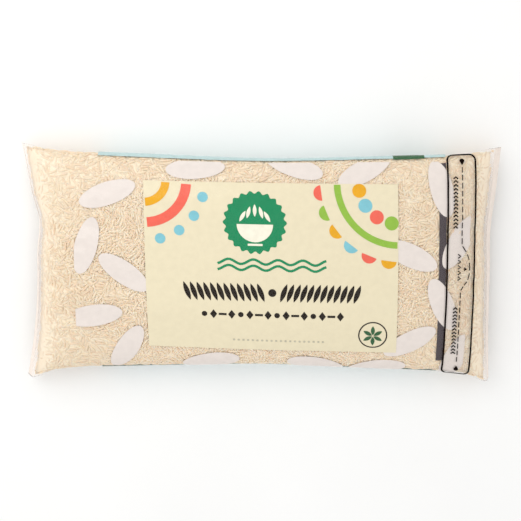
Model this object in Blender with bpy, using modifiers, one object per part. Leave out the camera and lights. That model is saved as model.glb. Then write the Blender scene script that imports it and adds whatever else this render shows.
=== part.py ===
"""A shut pillow bag of long-grain rice, lying on its back with its printed front up.

Metres, +Z up. The origin is under the middle of the bag, on the surface it lies on.
+X runs along the bag to the end with the reseal label, and +Y runs to the long edge
that is the top of the printed front.

The bag is a tube of film with a seal across each end. Film doesn't stretch, so every
section keeps the girth of the empty tube: where the rice makes the bag thick, it is narrow.
A place on the film is given by how far along the bag it is, from 0 at the -X seal to 1 at
the +X seal, and by its arc: the length of film from the middle of the front round to it,
positive over the +Y edge.
"""

import math

import bmesh
import bpy
import numpy as np

# The whole bag, from corner to corner and from the surface to the crown of the front
BAG_LENGTH = 0.296
FLAT_WIDTH = 0.149
BAG_THICKNESS = 0.040
GIRTH = 2 * FLAT_WIDTH

# The seals across the ends, each pair of values for the -X end and the +X end: how far the
# end draws in at its middle, a dent's depth, its place and its spread in half widths, and
# how wide the drooping seal is from above: at its middle, its corners and more towards +Y
SEAL_WIDTH = 0.009
SEAL_LEVEL = 0.016
FILM_PAIR = 0.0006
END_HOLLOW = (0.0077, 0.0027)
END_DENT = ((0.0029, 0.34, 0.17), (0.0014, 0.30, 0.25))
SEAL_REACH_MIDDLE = (0.0025, 0.0040)
SEAL_REACH_CORNER = (0.0031, 0.0042)
SEAL_REACH_SKEW = (-0.0008, 0.0013)
INSIDE_LENGTH = BAG_LENGTH - 2 * SEAL_WIDTH

# How the bag fills out from a seal to mid-length, and how far its body lies over to +Y
SHOULDER = 0.008
SHOULDER_SHARE = 0.70
SWELL_POWER = 1.64
BODY_SHIFT = 0.0019

# A section: the level of its widest line, and how boxy its upper and lower halves are
WAIST_LEVEL = 0.019
UNDERSIDE_DEPTH = 1.12
SEAL_POWER = 1.6
UPPER_POWER = 2.2
LOWER_POWER = 2.6

# Puckers that run in from the seals, and the unevenness of film drawn over loose rice:
# each wave is its count round the bag, its half waves along the bag, and its phase
PUCKER_HEIGHT = 0.0011
PUCKER_REACH = 0.013
PUCKER_WAVES = ((10, 0, 0.4), (16, 0, 2.1), (26, 0, 4.0))
UNEVEN_HEIGHT = 0.0005
UNEVEN_WAVES = ((4, 3, 0.3), (6, -4, 1.9), (9, 2, 4.4))
FLAT_BLEND = 0.010

# The clear reseal label on the front, next to the +X seal, which leans a little
LABEL_CENTRE_X = 0.1223
LABEL_LEAN = -0.0165
LABEL_WIDTH = 0.0184
LABEL_LENGTH = 0.1435
LABEL_CORNER = 0.0035
LABEL_CORNER_STEPS = 6
LABEL_THICKNESS = 0.0003
LABEL_GAP = 0.0003
LABEL_CELL = 0.004

# How finely the surfaces are divided, the ring a multiple of four
RING_POINTS = 64
SEAL_STEPS = 3
BODY_STEPS = 52
TABLE_RING = 192
TABLE_STEPS = 240
OUTLINE_POINTS = 1441
BISECTIONS = 40

COLLECTION = "Rice_Bag"
FILM_OVER_RICE = (0.86, 0.76, 0.58)
LABEL_COLOUR = (0.83, 0.76, 0.68)


def clear_scene():
    """Remove every object, so that the script can be run again."""
    for item in list(bpy.data.objects):
        bpy.data.objects.remove(item, do_unlink=True)


def material(name, colour, roughness):
    """A Principled material with one colour."""
    made = bpy.data.materials.new(name)
    made.use_nodes = True
    shader = made.node_tree.nodes["Principled BSDF"]
    shader.inputs["Base Color"].default_value = (*colour, 1.0)
    shader.inputs["Roughness"].default_value = roughness
    shader.inputs["Metallic"].default_value = 0.0
    return made


def add_object(name, mesh, collection, finish):
    """Put a mesh in the collection under its node's name, shaded smooth."""
    mesh.materials.append(finish)
    mesh.shade_smooth()
    made = bpy.data.objects.new(name, mesh)
    collection.objects.link(made)
    return made


def distance_in(along):
    """Distance inwards from the nearer seal."""
    return np.minimum(along, 1 - along) * INSIDE_LENGTH


def shoulder(along):
    """How far past a seal's shoulder the bag is, from 0 at the seal to nearly 1."""
    return 1 - np.exp(-distance_in(along) / SHOULDER)


def fullness(along):
    """Share of the bag's full thickness, 0 at the seals and 1 at mid-length."""
    swell = 1 - (1 - 2 * distance_in(along) / INSIDE_LENGTH) ** SWELL_POWER
    return shoulder(along) * (SHOULDER_SHARE + (1 - SHOULDER_SHARE) * swell)


def outlines(half_width, full):
    """Outlines of sections, one a row, from the middle of the back by -Y, front and +Y."""
    turn = np.linspace(-math.pi, math.pi, OUTLINE_POINTS)
    across, up = np.sin(turn)[None, :], np.cos(turn)[None, :]
    full, half_width = full[:, None], half_width[:, None]
    waist = SEAL_LEVEL + (WAIST_LEVEL - SEAL_LEVEL) * full
    upper_depth = FILM_PAIR / 2 + (BAG_THICKNESS - WAIST_LEVEL) * full
    lower_depth = FILM_PAIR / 2 + WAIST_LEVEL * UNDERSIDE_DEPTH * full
    upper_power = 2 / (SEAL_POWER + (UPPER_POWER - SEAL_POWER) * full)
    lower_power = 2 / (SEAL_POWER + (LOWER_POWER - SEAL_POWER) * full)
    power = np.where(up > 0, upper_power, lower_power)
    depth = np.where(up > 0, upper_depth, lower_depth)
    y = half_width * np.sign(across) * np.abs(across) ** power
    z = waist + depth * np.sign(up) * np.abs(up) ** power
    return y, np.maximum(z, 0.0)


def lengths(y, z):
    """Length of film from the start of each outline to each of its points."""
    run = np.cumsum(np.hypot(np.diff(y, axis=1), np.diff(z, axis=1)), axis=1)
    return np.concatenate([np.zeros((len(y), 1)), run], axis=1)


def sections(full, arcs):
    """Y and Z of sections at the given arcs, each section as wide as its girth lets it be."""
    low = np.full(len(full), FLAT_WIDTH / 4)
    high = np.full(len(full), FLAT_WIDTH / 2)
    for _ in range(BISECTIONS):
        half_width = (low + high) / 2
        too_long = lengths(*outlines(half_width, full))[:, -1] > GIRTH
        high = np.where(too_long, half_width, high)
        low = np.where(too_long, low, half_width)
    y, z = outlines(half_width, full)
    run = lengths(y, z)
    run *= GIRTH / run[:, -1:]
    start = arcs + GIRTH / 2
    at_y = [np.interp(start, run[i], y[i]) for i in range(len(full))]
    at_z = [np.interp(start, run[i], z[i]) for i in range(len(full))]
    return np.stack(at_y), np.stack(at_z)


def ring_arcs(count):
    """Arcs of points evenly round the film, from the middle of the back by -Y."""
    return GIRTH * (np.arange(count) / count - 0.5)


def end_edges(end, y):
    """X of a seal's outer and inner edges at y, and how far the outer edge droops."""
    side = (-1, 1)[end]
    share = 2 * y / FLAT_WIDTH
    middle = 1 - share**2
    reach = SEAL_REACH_CORNER[end] + (SEAL_REACH_MIDDLE[end] - SEAL_REACH_CORNER[end]) * middle
    reach = reach + SEAL_REACH_SKEW[end] * share
    depth, place, spread = END_DENT[end]
    hollow = END_HOLLOW[end] * middle + depth * np.exp(-(((share - place) / spread) ** 2))
    outer = side * (BAG_LENGTH / 2 - hollow)
    return outer, outer - side * reach, np.sqrt(SEAL_WIDTH**2 - reach**2)


def waves(terms, along, arcs):
    """Mean of waves that run round the bag and along it."""
    total = sum(np.sin(2 * math.pi * n * arcs / GIRTH + math.pi * m * along + p) for n, m, p in terms)
    return total / len(terms)


def body(along, arcs):
    """Film between the seals, as a grid of points with one ring for each place along the bag."""
    y, z = sections(fullness(along), arcs)
    rows, columns = along[:, None], arcs[None, :]
    across = np.roll(y, -1, axis=1) - np.roll(y, 1, axis=1)
    up = np.roll(z, -1, axis=1) - np.roll(z, 1, axis=1)
    size = np.hypot(across, up)
    reach = distance_in(rows) / PUCKER_REACH
    # Puckers fade out towards the long edges, where the film is drawn tight
    pucker = PUCKER_HEIGHT * reach * np.exp(1 - reach) * np.cos(2 * math.pi * columns / GIRTH) ** 2
    rise = pucker * waves(PUCKER_WAVES, rows, columns)
    rise = rise + UNEVEN_HEIGHT * fullness(rows) * waves(UNEVEN_WAVES, rows, columns)
    rise = rise * np.clip(z / FLAT_BLEND, 0, 1)
    y, z = y - rise * up / size, z + rise * across / size
    left, right = end_edges(0, y)[1], end_edges(1, y)[1]
    return np.stack([left + (right - left) * rows, y + BODY_SHIFT * shoulder(rows) ** 2, z], axis=2)


def seal(end, steps, arcs):
    """Film of one seal, one ring of points for each share of the way out to its edge."""
    side = (-1, 1)[end]
    y, z = sections(np.zeros(1), arcs)
    y, lift = y[0], z[0] - SEAL_LEVEL
    outer, inner, droop = end_edges(end, y)
    slope = np.arctan2(droop, np.abs(outer - inner))
    rows = []
    for share in steps:
        x = inner + (outer - inner) * share + side * lift * np.sin(slope)
        rows.append(np.stack([x, y, SEAL_LEVEL - droop * share + lift * np.cos(slope)], axis=1))
    return np.stack(rows)


def loft(rings):
    """Closed mesh over rings of points, its end rings zipped shut from edge to edge."""
    ring = rings.shape[1]
    shell = bmesh.new()
    verts = [[shell.verts.new(point) for point in points] for points in rings]
    for here, there in zip(verts, verts[1:]):
        for j in range(ring):
            k = (j + 1) % ring
            shell.faces.new((here[j], here[k], there[k], there[j]))
    for edge in (ring // 4, 3 * ring // 4):
        for points in (verts[0], verts[-1]):
            for j in range(ring // 4):
                front = (points[edge - j], points[edge - j - 1])
                back = (points[(edge + j + 1) % ring], points[edge + j])
                shell.faces.new(list(dict.fromkeys(front + back)))
    bmesh.ops.triangulate(shell, faces=shell.faces[:])
    bmesh.ops.recalc_face_normals(shell, faces=shell.faces[:])
    mesh = bpy.data.meshes.new("bag")
    shell.to_mesh(mesh)
    shell.free()
    return mesh


def build_bag(collection):
    """The film with the rice in it, from the outer edge of one seal to that of the other."""
    arcs = ring_arcs(RING_POINTS)
    # Stations crowd towards the seals, where the bag fills out fastest
    along = 0.5 - 0.5 * np.cos(np.linspace(0, math.pi, BODY_STEPS + 1))
    out = np.arange(1, SEAL_STEPS + 1) / SEAL_STEPS
    rings = [seal(0, out[::-1], arcs), body(along, arcs), seal(1, out, arcs)]
    film = material("Film_Over_Rice", FILM_OVER_RICE, 0.35)
    return add_object("bag", loft(np.concatenate(rings)), collection, film)


def film_normals(points):
    """Outward normals of a grid of film points whose columns close into rings."""
    along = np.gradient(points, axis=0)
    across = np.roll(points, -1, axis=1) - np.roll(points, 1, axis=1)
    normals = np.cross(along, across)
    return normals / np.linalg.norm(normals, axis=2, keepdims=True)


def sample(grid, along, arcs):
    """Values of a grid over the film, read between its rows and columns."""
    row = along * (len(grid) - 1)
    column = (arcs / GIRTH + 0.5) * grid.shape[1]
    i, j = np.minimum(row.astype(int), len(grid) - 2), column.astype(int)
    k = (j + 1) % grid.shape[1]
    down, over = (row - i)[:, None], (column - j)[:, None]
    near = grid[i, j] * (1 - over) + grid[i, k] * over
    far = grid[i + 1, j] * (1 - over) + grid[i + 1, k] * over
    return near * (1 - down) + far * down


def place(points, x, arcs, height):
    """Points at a height over the film, found from their x and their arcs."""
    low, high = np.zeros(len(x)), np.ones(len(x))
    for _ in range(BISECTIONS):
        along = (low + high) / 2
        beyond = sample(points, along, arcs)[:, 0] > x
        high = np.where(beyond, along, high)
        low = np.where(beyond, low, along)
    return sample(points, along, arcs) + height * sample(film_normals(points), along, arcs)


def rounded_rectangle(length, width, radius, steps):
    """Outline of a rectangle with round corners, about the origin."""
    outline = []
    for corner in range(4):
        centre_x = (length / 2 - radius) * (1, -1, -1, 1)[corner]
        centre_y = (width / 2 - radius) * (1, 1, -1, -1)[corner]
        for step in range(steps + 1):
            turn = math.pi / 2 * (corner + step / steps)
            outline.append((centre_x + radius * math.cos(turn), centre_y + radius * math.sin(turn)))
    return outline


def build_label(collection):
    """The reseal label: a flat rounded strip, laid over the film and given its thickness."""
    flat = bmesh.new()
    outline = rounded_rectangle(LABEL_WIDTH, LABEL_LENGTH, LABEL_CORNER, LABEL_CORNER_STEPS)
    flat.faces.new([flat.verts.new((x, y, 0)) for x, y in outline])
    across = int(LABEL_WIDTH / 2 / LABEL_CELL)
    cuts = [(i * LABEL_CELL, 0, (1, 0, 0)) for i in range(-across, across + 1)]
    reach = int(LABEL_LENGTH / 2 / LABEL_CELL)
    cuts += [(0, j * LABEL_CELL, (0, 1, 0)) for j in range(-reach, reach + 1)]
    for x, y, normal in cuts:
        everything = flat.verts[:] + flat.edges[:] + flat.faces[:]
        bmesh.ops.bisect_plane(flat, geom=everything, plane_co=(x, y, 0), plane_no=normal)
    bmesh.ops.triangulate(flat, faces=flat.faces[:])
    along = np.linspace(0, 1, TABLE_STEPS + 1)
    film = body(along, ring_arcs(TABLE_RING))
    spots = np.array([vert.co for vert in flat.verts])
    x, label_arcs = LABEL_CENTRE_X + spots[:, 0] + LABEL_LEAN * spots[:, 1], spots[:, 1]
    laid = place(film, x, label_arcs, LABEL_GAP)
    for vert, point in zip(flat.verts, laid):
        vert.co = point
    mesh = bpy.data.meshes.new("reseal_label")
    flat.to_mesh(mesh)
    flat.free()
    clear = material("Label_Film", LABEL_COLOUR, 0.25)
    label = add_object("reseal_label", mesh, collection, clear)
    thicken = label.modifiers.new("Thickness", "SOLIDIFY")
    thicken.thickness = LABEL_THICKNESS
    thicken.offset = 1.0
    return label


def main():
    clear_scene()
    collection = bpy.data.collections.new(COLLECTION)
    bpy.context.scene.collection.children.link(collection)
    build_bag(collection)
    build_label(collection)


main()
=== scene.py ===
"""Looks of the shut bag of rice: clear film over loose grains, with its print inside the film.

The film follows the same rules and sizes as the solids do. Places on it are given in metres
along X and by their arc: the length of film from the middle of the front round to it,
positive over the +Y edge. Arcs past the middle of the back simply run on.
"""

import math

import bmesh
import bpy
import numpy as np
from mathutils import Matrix, Vector


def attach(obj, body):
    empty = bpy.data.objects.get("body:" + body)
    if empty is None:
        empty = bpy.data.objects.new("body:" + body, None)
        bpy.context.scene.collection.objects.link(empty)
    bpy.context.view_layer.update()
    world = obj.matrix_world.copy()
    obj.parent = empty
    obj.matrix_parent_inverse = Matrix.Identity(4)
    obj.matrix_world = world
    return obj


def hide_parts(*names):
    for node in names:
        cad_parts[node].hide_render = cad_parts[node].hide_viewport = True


# The bag's sizes, as in the solids
BAG_LENGTH = 0.296
FLAT_WIDTH = 0.149
BAG_THICKNESS = 0.040
GIRTH = 2 * FLAT_WIDTH
SEAL_WIDTH = 0.009
SEAL_LEVEL = 0.016
FILM_PAIR = 0.0006
END_HOLLOW = (0.0077, 0.0027)
END_DENT = ((0.0029, 0.34, 0.17), (0.0014, 0.30, 0.25))
SEAL_REACH_MIDDLE = (0.0025, 0.0040)
SEAL_REACH_CORNER = (0.0031, 0.0042)
SEAL_REACH_SKEW = (-0.0008, 0.0013)
INSIDE_LENGTH = BAG_LENGTH - 2 * SEAL_WIDTH
SHOULDER = 0.008
SHOULDER_SHARE = 0.70
SWELL_POWER = 1.64
BODY_SHIFT = 0.0019
WAIST_LEVEL = 0.019
UNDERSIDE_DEPTH = 1.12
SEAL_POWER = 1.6
UPPER_POWER = 2.2
LOWER_POWER = 2.6
PUCKER_HEIGHT = 0.0011
PUCKER_REACH = 0.013
PUCKER_WAVES = ((10, 0, 0.4), (16, 0, 2.1), (26, 0, 4.0))
UNEVEN_HEIGHT = 0.0005
UNEVEN_WAVES = ((4, 3, 0.3), (6, -4, 1.9), (9, 2, 4.4))
FLAT_BLEND = 0.010
LABEL_CENTRE_X = 0.1223
LABEL_LEAN = -0.0165
LABEL_WIDTH = 0.0184
LABEL_LENGTH = 0.1435

# The label's corners, a little rounder than in its solid
LABEL_CORNER = 0.0045

# Fineness of the film, the dimples that grains press into it, and the ribs of its seals
TABLE_RING = 256
TABLE_STEPS = 248
OUTLINE_POINTS = 1441
BISECTIONS = 34
DIMPLE_SEED = 11
DIMPLE_HEIGHT = 0.00005
DIMPLE_COUNT = 14
DIMPLE_PITCH = (0.006, 0.012)
SEAL_ROWS = 24
RIB_COUNT = 5
RIB_HEIGHT = 0.000012
RIB_FADE = 0.00004
EDGE_THINNING = 0.8

# The film's shine, and its frost where it is clear, at its ends, on its seals and along its lap
FILM_IOR = 1.3
FILM_ROUGHNESS = 0.13
CLEAR_FROST = 0.012
BORDER_FROST = 0.28
BORDER_REACH = 0.0045
SEAL_FROST = 0.75
SEAL_RISE = 0.3
LAP_FROST = 0.22
LAP_HALF_WIDTH = 0.006
HAZE_SCALE = 70.0
HAZE_SPREAD = (0.8, 1.2)
NOISE_RANGE = (0.3, 0.7)

# Thickness of a sheet of ink, and how deep under the film the print's layers lie
INK = 0.00004
TOP_DEPTH = 0.00007
ORNAMENT_DEPTH = 0.00017
PANEL_DEPTH = 0.00027
OVAL_DEPTH = 0.00037
STRIPE_DEPTH = 0.00047

# The label's looks, its gap over the film, its thickness, and the level of the marks on it
LABEL_ROUGHNESS = 0.10
LABEL_HAZE = 0.035
LABEL_LIFT = 0.0001
LABEL_SHEET = 0.0003
MARKS_LEVEL = LABEL_LIFT + LABEL_SHEET + 2 * INK

# From here to the label's marks, sizes are in millimetres and turns in degrees. Fields and ovals
# have their places on the film, by X and arc. An oval's limits: the axis, the place, the side kept
PRINT_CELL = 1.6
MERGE_REACH = 0.001
CUT_REACH = 0.0001
SHEET_SHARP = 40
PANEL_CORNERS = ((-68.3, -51.0), (84.9, -54.9), (-71.2, 53.6), (82.4, 52.5))
STRIPE_CORNERS = ((110.3, -60.7), (114.5, -60.7), (107.2, 65.9), (111.8, 65.9))
OVAL_SIZE = (36.0, 14.0)
OVAL_LIMITS = ((0, -113.4, 1), (0, 128.0, -1), (1, 67.0, -1))
OVALS = (
    (-93, 45, 20), (-106, 13, 75), (-83, -3, -35), (-102, -31, 10), (-82, -53, 60),
    (109, 50, 105), (121, 17, 62), (91, 9, -25), (112, -22, -66), (93, -47, 30), (122, -59, 70),
    (-40, 62, 5), (20, 64, -20), (62, 61, 30), (-30, -63, 10), (35, -66, -12), (74, -68, 8),
)

# The panel's ornaments have their places on it, from its middle. First a disc with a bowl
PANEL_HALF_LENGTH = 77.0
PANEL_HALF_HEIGHT = 53.5
ROUNDEL = (-10.0, 29.0)
ROUNDEL_RADIUS = 18.5
SCALLOP_COUNT = 22
SCALLOP_DEPTH = 0.9
SCALLOP_POINTS = 6
BOWL_DROP = 1.0
BOWL_RADIUS = 11.0
BOWL_FOOT = (-4.5, 4.5, -14.2, -12.9)
BOWL_GRAIN = (7.6, 2.3)
BOWL_GRAINS = ((-7.4, 3.8, 60), (-3.8, 6.2, 75), (0, 7.4, 90), (3.8, 6.2, 105), (7.4, 3.8, 120))

# Two wavy lines
WAVE_LEVELS = (1.1, 4.9)
WAVE_X = (-33.0, 34.5, 1.5)
WAVE_HEIGHT = 1.5
WAVE_PITCH = 15.0
WAVE_STROKE = 1.5

# A row of slanted grains to either side of a dot
FRIEZE_LEVEL = -14.5
FRIEZE_DOT = 5.0
FRIEZE_X = (7.0, 52.0)
FRIEZE_COUNT = 24
FRIEZE_GRAIN = (12.5, 3.1)
FRIEZE_LEAN = 20

# A row of dots, diamonds and dashes
SMALL_LEVEL = -29.0
SMALL_LENGTH = 89.0
SMALL_COUNT = 16
SMALL_DOT = 3.4
SMALL_DASH = (2.4, 0.7)
SMALL_DIAMOND = (2.2, 2.9)

# A ring with a sprig, and a dotted rule
EMBLEM = (62.0, -41.0)
EMBLEM_RING = (8.3, 9.1)
SPRIG_DROP = 0.5
SPRIG_RADIUS = 3.6
SPRIG_LEAF = (6.2, 2.5)
RULE_LEVEL = -46.5
RULE_X = (-24, 34, 2.9)
RULE_DOT = 1.5

# Arcs, dots, discs and half discs about the panel's upper corners, by radius and bearing
LEFT_BEARINGS = (-86, -4)
CORAL_ARC = (23, 29)
ORANGE_ARC = (11, 16)
SKY_RADIUS = 37
SKY_BEARINGS = (-75, -55, -35, -15)
SKY_DOT = 6.4
LEAF_ARC = (35, 39, 181, 269)
DISC_RADIUS = 24
DISC_BEARINGS = (190, 260)
DISC_SIZE = 8.5
DISC_ORDER = ("orange", "sky", "coral", "leaf")
HALF_RADIUS = 47
HALF_BEARINGS = (187, 263)
HALF_SIZE = 9.5
HALF_ORDER = ("coral", "leaf", "orange", "sky", "coral", "orange")

# The back: its field, a block at its corner, boxes, kernels, and rules by their count, ends,
# raggedness, first level, pitch and half width
BACK_X = (-99.2, 112.0)
BACK_ARCS = (69.4, 224.5)
BACK_LEAN = 1.2
BACK_BOW = 1.2
BLOCK_CORNERS = ((80.0, 68.8), (99.0, 69.2), (80.0, 84.0), (99.0, 84.0))
BACK_BOXES = ((-58, 149, 66, 100, 3), (30, 118, 84, 38, 3), (30, 182, 84, 34, 3))
BACK_KERNELS = ((-2, 40), (14, 140), (30, 40), (46, 140), (62, 40))
BACK_KERNEL = (15, 5.6)
BACK_KERNEL_ARC = 182
BACK_RULES = ((13, -87, -29, 7, 17, 106, 7.2, 0.5), (4, -8, 66, 13, 19, 106.5, 7.5, 0.6))

# Marks on the label have their places on it, from its middle
OUTLINE_STROKE = 1.1
TEAR_LINE = (
    (0.3, 63.7), (0.3, 15.6), (3.7, 10.4), (5.3, 5.6),
    (5.6, -1.2), (4.3, -6.8), (0.0, -13.4), (0.1, -61.5),
)
TEAR_STROKE = 0.6
DASH_PITCH = 4.9
DASH_PARTS = (0.14, 0.86)
DROPS = ((67.0, -1), (-66.9, 1))
DROP_X = 0.3
DROP_RADIUS = 1.45
DROP_TAIL = 2.9
POINTER = ((2.0, 1.9), (3.9, 0.6), (2.0, -0.7))
CHEVRON_COLUMNS = ((-3.9, 25.8, 56.0), (-2.7, -54.8, -24.0))
CHEVRON_PITCH = 2.3
CHEVRON_REACH = 1.35
CHEVRON_RISE = 1.2
CHEVRON_STROKE = 0.9
SIDE_CHEVRONS = (8.6, 5.2, 1.8, -1.6, -5.0)
SIDE_X = (-2.0, -0.3)
SIDE_STROKE = 0.75

# Grains: their sizes in metres, the form of one, and each layer's depth and range of tones. The deeper
# layers take lighter tones: painted light that lifts the shade between the grains
GRAIN_LENGTH = (0.0058, 0.0076)
BROKEN_LENGTH = (0.0028, 0.0046)
GRAIN_WIDTH = 0.00165
GRAIN_HEIGHT = 0.00132
WIDTH_SPREAD = (0.9, 1.12)
HEIGHT_SPREAD = (0.9, 1.1)
HEIGHT_ROOM = 1.5
GRAIN_BEND = 0.10
GRAIN_SIDES = 6
GRAIN_STATIONS = (-0.44, -0.27, 0.0, 0.27, 0.43)
GRAIN_RADII = (0.56, 0.90, 1.0, 0.88, 0.60)
GRAIN_TILT = 0.00005
GRAIN_LAYERS = ((0.00126, (0.2, 0.85)), (0.00145, (0.3, 1.0)), (0.00170, (0.4, 1.0)))

# Where grains lie: the room they need, how they swirl, and how closely they are tried
END_ROOM = 0.0006
PRINT_MARGIN = 0.006
ROOM_SHARE = 0.85
LEAST_DEPTH = 0.0005
REACH_STEPS = 8
THIN_SHARE = 0.99
PROBES = (-0.7, 0, 0.7)
SWIRLS = ((0.011, 0.017), (-0.019, 0.009), (0.007, -0.013))
SWIRL_PHASES = (2.0, 4.0)
SWIRL_TURN = 1.3
GRAIN_STRAY = 0.6
SCATTER_SEED = 100
SCATTER_CELL = 0.00045
SCATTER_BATCH = 3000
SCATTER_ROUNDS = 70
WHOLE_ROUNDS = 50
TEST_LENGTHS = (-0.46, 0.46, 15)
TEST_WIDTHS = (-0.42, 0.42, 5)

# The core behind the grains: how far it is drawn in, at most what share, and the end rows left out
CORE_DEPTH = 0.0018
CORE_LIMIT = 0.6
CORE_ROWS = 2

# Colours as they look, from 0 to 255
CREAM = (234, 223, 192)
PALE_CREAM = (246, 241, 222)
WHITE = (246, 245, 240)
GREEN = (20, 138, 90)
DARK_GREEN = (48, 96, 60)
BROWN = (24, 15, 6)
KERNEL_WHITE = (239, 229, 222)
CYAN = (186, 211, 211)
CORAL = (240, 105, 87)
ORANGE = (234, 170, 28)
SKY = (129, 197, 210)
LEAF = (146, 189, 69)
PALE_GREY = (196, 190, 168)
RULE_GREY = (96, 98, 96)
STRIPE_GREY = (78, 70, 74)
BLACK = (22, 13, 12)
FROST = (252, 240, 230)
RICE_TONES = ((236, 212, 183), (240, 218, 191), (243, 225, 199), (246, 231, 208))
RICE_MOTTLE = ((248, 246, 244), (255, 255, 255))
# The core's tones sit at and past the light end of the rice's: painted light that lifts the shade in the
# gaps between grains
PAINTED_LIGHT_CORE_TONES = ((245, 228, 201), (249, 236, 213))
FLOOR_TONES = ((250, 250, 249), (253, 253, 252))

# Looks of ink, rice, core and floor
MOTTLE_STOPS = (0.35, 0.65)
INK_ROUGHNESS = 0.5
INK_MOTTLE_SCALE = 260
INK_MOTTLE = 0.018
OVAL_MOTTLE = 0.010
PANEL_MOTTLE = 0.008
OVAL_ALPHA = 0.92
STRIPE_ALPHA = 0.97
RICE_ROUGHNESS = 0.55
RICE_SPECULAR = 0.15
RICE_GLOW = {"Weight": 0.6, "Radius": (1.0, 0.87, 0.68), "Scale": 0.0006}
RICE_MOTTLE_SCALE = 520
CORE_ROUGHNESS = 0.8
CORE_MOTTLE_SCALE = 330
FLOOR_ROUGHNESS = 0.9
FLOOR_MOTTLE_SCALE = 6

# The surround, the lights by place, size, power and colour, and the floor
WORLD_STRENGTH = 0.885
LIGHTS = (
    ("Key_Light", (-0.38, 0.35, 0.55), 0.55, 1.55, (1.0, 0.985, 0.96)),
    ("Fill_Light", (0.7, -0.3, 0.9), 1.0, 0.2, (0.97, 0.985, 1.0)),
)
LIT_PLACE = (0, 0, 0.02)
FLOOR_SIZE = 6.0
FLOOR_GAP = 0.0004

# The camera looks down on the bag, a little from its +Y side: its turns are tilt, yaw and roll
PHOTO_SIDE = 521
LENS_PIXELS = 1210
SENSOR = 36.0
CAMERA_DISTANCE = 0.75
CAMERA_TARGET = (0.0001, 0.0036, 0.020)
CAMERA_TURNS = (12.07, -0.52, 0.67)

MM = 0.001


def distance_in(along):
    """Distance inwards from the nearer seal."""
    return np.minimum(along, 1 - along) * INSIDE_LENGTH


def shoulder(along):
    """How far past a seal's shoulder the bag is, from 0 at the seal to nearly 1."""
    return 1 - np.exp(-distance_in(along) / SHOULDER)


def fullness(along):
    """Share of the bag's full thickness, 0 at the seals and 1 at mid-length."""
    swell = 1 - (1 - 2 * distance_in(along) / INSIDE_LENGTH) ** SWELL_POWER
    return shoulder(along) * (SHOULDER_SHARE + (1 - SHOULDER_SHARE) * swell)


def outlines(half_width, full):
    """Outlines of sections, one a row, from the middle of the back by -Y, front and +Y."""
    turn = np.linspace(-math.pi, math.pi, OUTLINE_POINTS)
    across, up = np.sin(turn)[None, :], np.cos(turn)[None, :]
    full, half_width = full[:, None], half_width[:, None]
    waist = SEAL_LEVEL + (WAIST_LEVEL - SEAL_LEVEL) * full
    upper_depth = FILM_PAIR / 2 + (BAG_THICKNESS - WAIST_LEVEL) * full
    lower_depth = FILM_PAIR / 2 + WAIST_LEVEL * UNDERSIDE_DEPTH * full
    upper_power = 2 / (SEAL_POWER + (UPPER_POWER - SEAL_POWER) * full)
    lower_power = 2 / (SEAL_POWER + (LOWER_POWER - SEAL_POWER) * full)
    power = np.where(up > 0, upper_power, lower_power)
    depth = np.where(up > 0, upper_depth, lower_depth)
    y = half_width * np.sign(across) * np.abs(across) ** power
    z = waist + depth * np.sign(up) * np.abs(up) ** power
    return y, np.maximum(z, 0.0)


def lengths(y, z):
    """Length of film from the start of each outline to each of its points."""
    run = np.cumsum(np.hypot(np.diff(y, axis=1), np.diff(z, axis=1)), axis=1)
    return np.concatenate([np.zeros((len(y), 1)), run], axis=1)


def sections(full, arcs):
    """Y and Z of sections at the given arcs, each section as wide as its girth lets it be."""
    low = np.full(len(full), FLAT_WIDTH / 4)
    high = np.full(len(full), FLAT_WIDTH / 2)
    for _ in range(BISECTIONS):
        half_width = (low + high) / 2
        too_long = lengths(*outlines(half_width, full))[:, -1] > GIRTH
        high = np.where(too_long, half_width, high)
        low = np.where(too_long, low, half_width)
    y, z = outlines(half_width, full)
    run = lengths(y, z)
    run *= GIRTH / run[:, -1:]
    start = arcs + GIRTH / 2
    return [np.stack([np.interp(start, *row) for row in zip(run, values)]) for values in (y, z)]


def ring_arcs(count):
    """Arcs of points evenly round the film, from the middle of the back by -Y."""
    return GIRTH * (np.arange(count) / count - 0.5)


def end_edges(end, y):
    """X of a seal's outer and inner edges at y, and how far the outer edge droops."""
    side = (-1, 1)[end]
    share = 2 * y / FLAT_WIDTH
    middle = 1 - share**2
    reach = SEAL_REACH_CORNER[end] + (SEAL_REACH_MIDDLE[end] - SEAL_REACH_CORNER[end]) * middle
    reach = reach + SEAL_REACH_SKEW[end] * share
    depth, place, spread = END_DENT[end]
    hollow = END_HOLLOW[end] * middle + depth * np.exp(-(((share - place) / spread) ** 2))
    outer = side * (BAG_LENGTH / 2 - hollow)
    return outer, outer - side * reach, np.sqrt(SEAL_WIDTH**2 - reach**2)


def waves(terms, along, arcs):
    """Mean of waves that run round the bag and along it."""
    total = sum(np.sin(2 * math.pi * n * arcs / GIRTH + math.pi * m * along + p) for n, m, p in terms)
    return total / len(terms)


def dimples(along, arcs):
    """Fine unevenness of film pressed on loose grains, as waves in seeded directions."""
    rng = np.random.default_rng(DIMPLE_SEED)
    total = 0.0
    for _ in range(DIMPLE_COUNT):
        pitch = rng.uniform(*DIMPLE_PITCH)
        direction, phase = rng.uniform(0, 2 * math.pi, 2)
        # The count round the bag is whole, so that the wave closes on itself
        count = round(GIRTH / pitch * math.cos(direction))
        half_waves = 2 * INSIDE_LENGTH / pitch * math.sin(direction)
        total = total + np.sin(2 * math.pi * count * arcs / GIRTH + math.pi * half_waves * along + phase)
    return DIMPLE_HEIGHT * total / math.sqrt(DIMPLE_COUNT / 2)


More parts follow.
